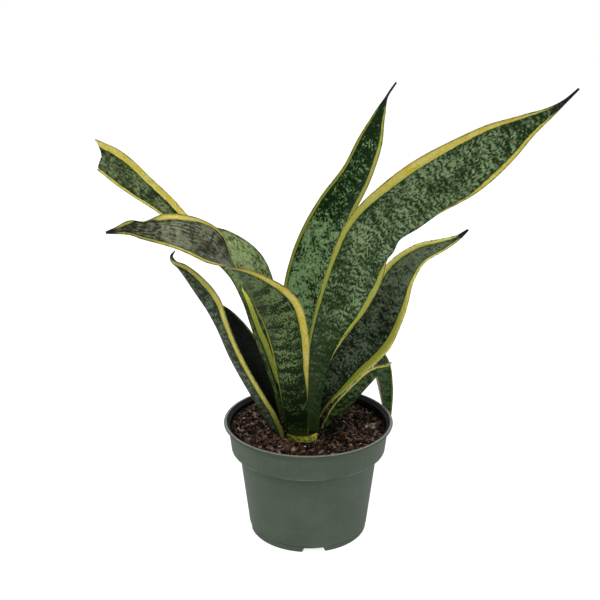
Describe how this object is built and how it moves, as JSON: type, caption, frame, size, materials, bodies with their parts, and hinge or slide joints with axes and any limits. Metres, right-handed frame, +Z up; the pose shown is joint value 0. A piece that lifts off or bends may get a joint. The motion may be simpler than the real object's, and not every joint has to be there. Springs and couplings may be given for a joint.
{
  "type": "potted snake plant",
  "caption": "Young snake plant with broad pointed leaves, some twisted or folded, in a tapered nursery pot with a rolled rim, collar and drain notches.",
  "frame": {"origin": "centre of the pot's underside, which stands on the surface", "axes": "+Z up along the pot's axis; the front leaf stands on the -Y side and the leaves spread along X"},
  "size_m": [0.4043, 0.1547, 0.3985],
  "materials": {
    "pot_plastic": "grey-green moulded plastic, slightly scuffed",
    "potting_soil": "dark crumbly potting mix",
    "leaf_green": "smooth waxy leaf, dark green with pale bands and golden margins",
    "sheath_green": "pale yellow-green old leaf base"
  },
  "bodies": {
    "root": {"pot": "pot_plastic", "soil": "potting_soil", "base_sheath": "sheath_green", "leaf_tall": "leaf_green", "leaf_wide": "leaf_green", "leaf_right": "leaf_green", "leaf_front": "leaf_green", "leaf_torn": "leaf_green", "leaf_left": "leaf_green", "leaf_short": "leaf_green", "leaf_hanging": "leaf_green"}
  },
  "joints": []
}
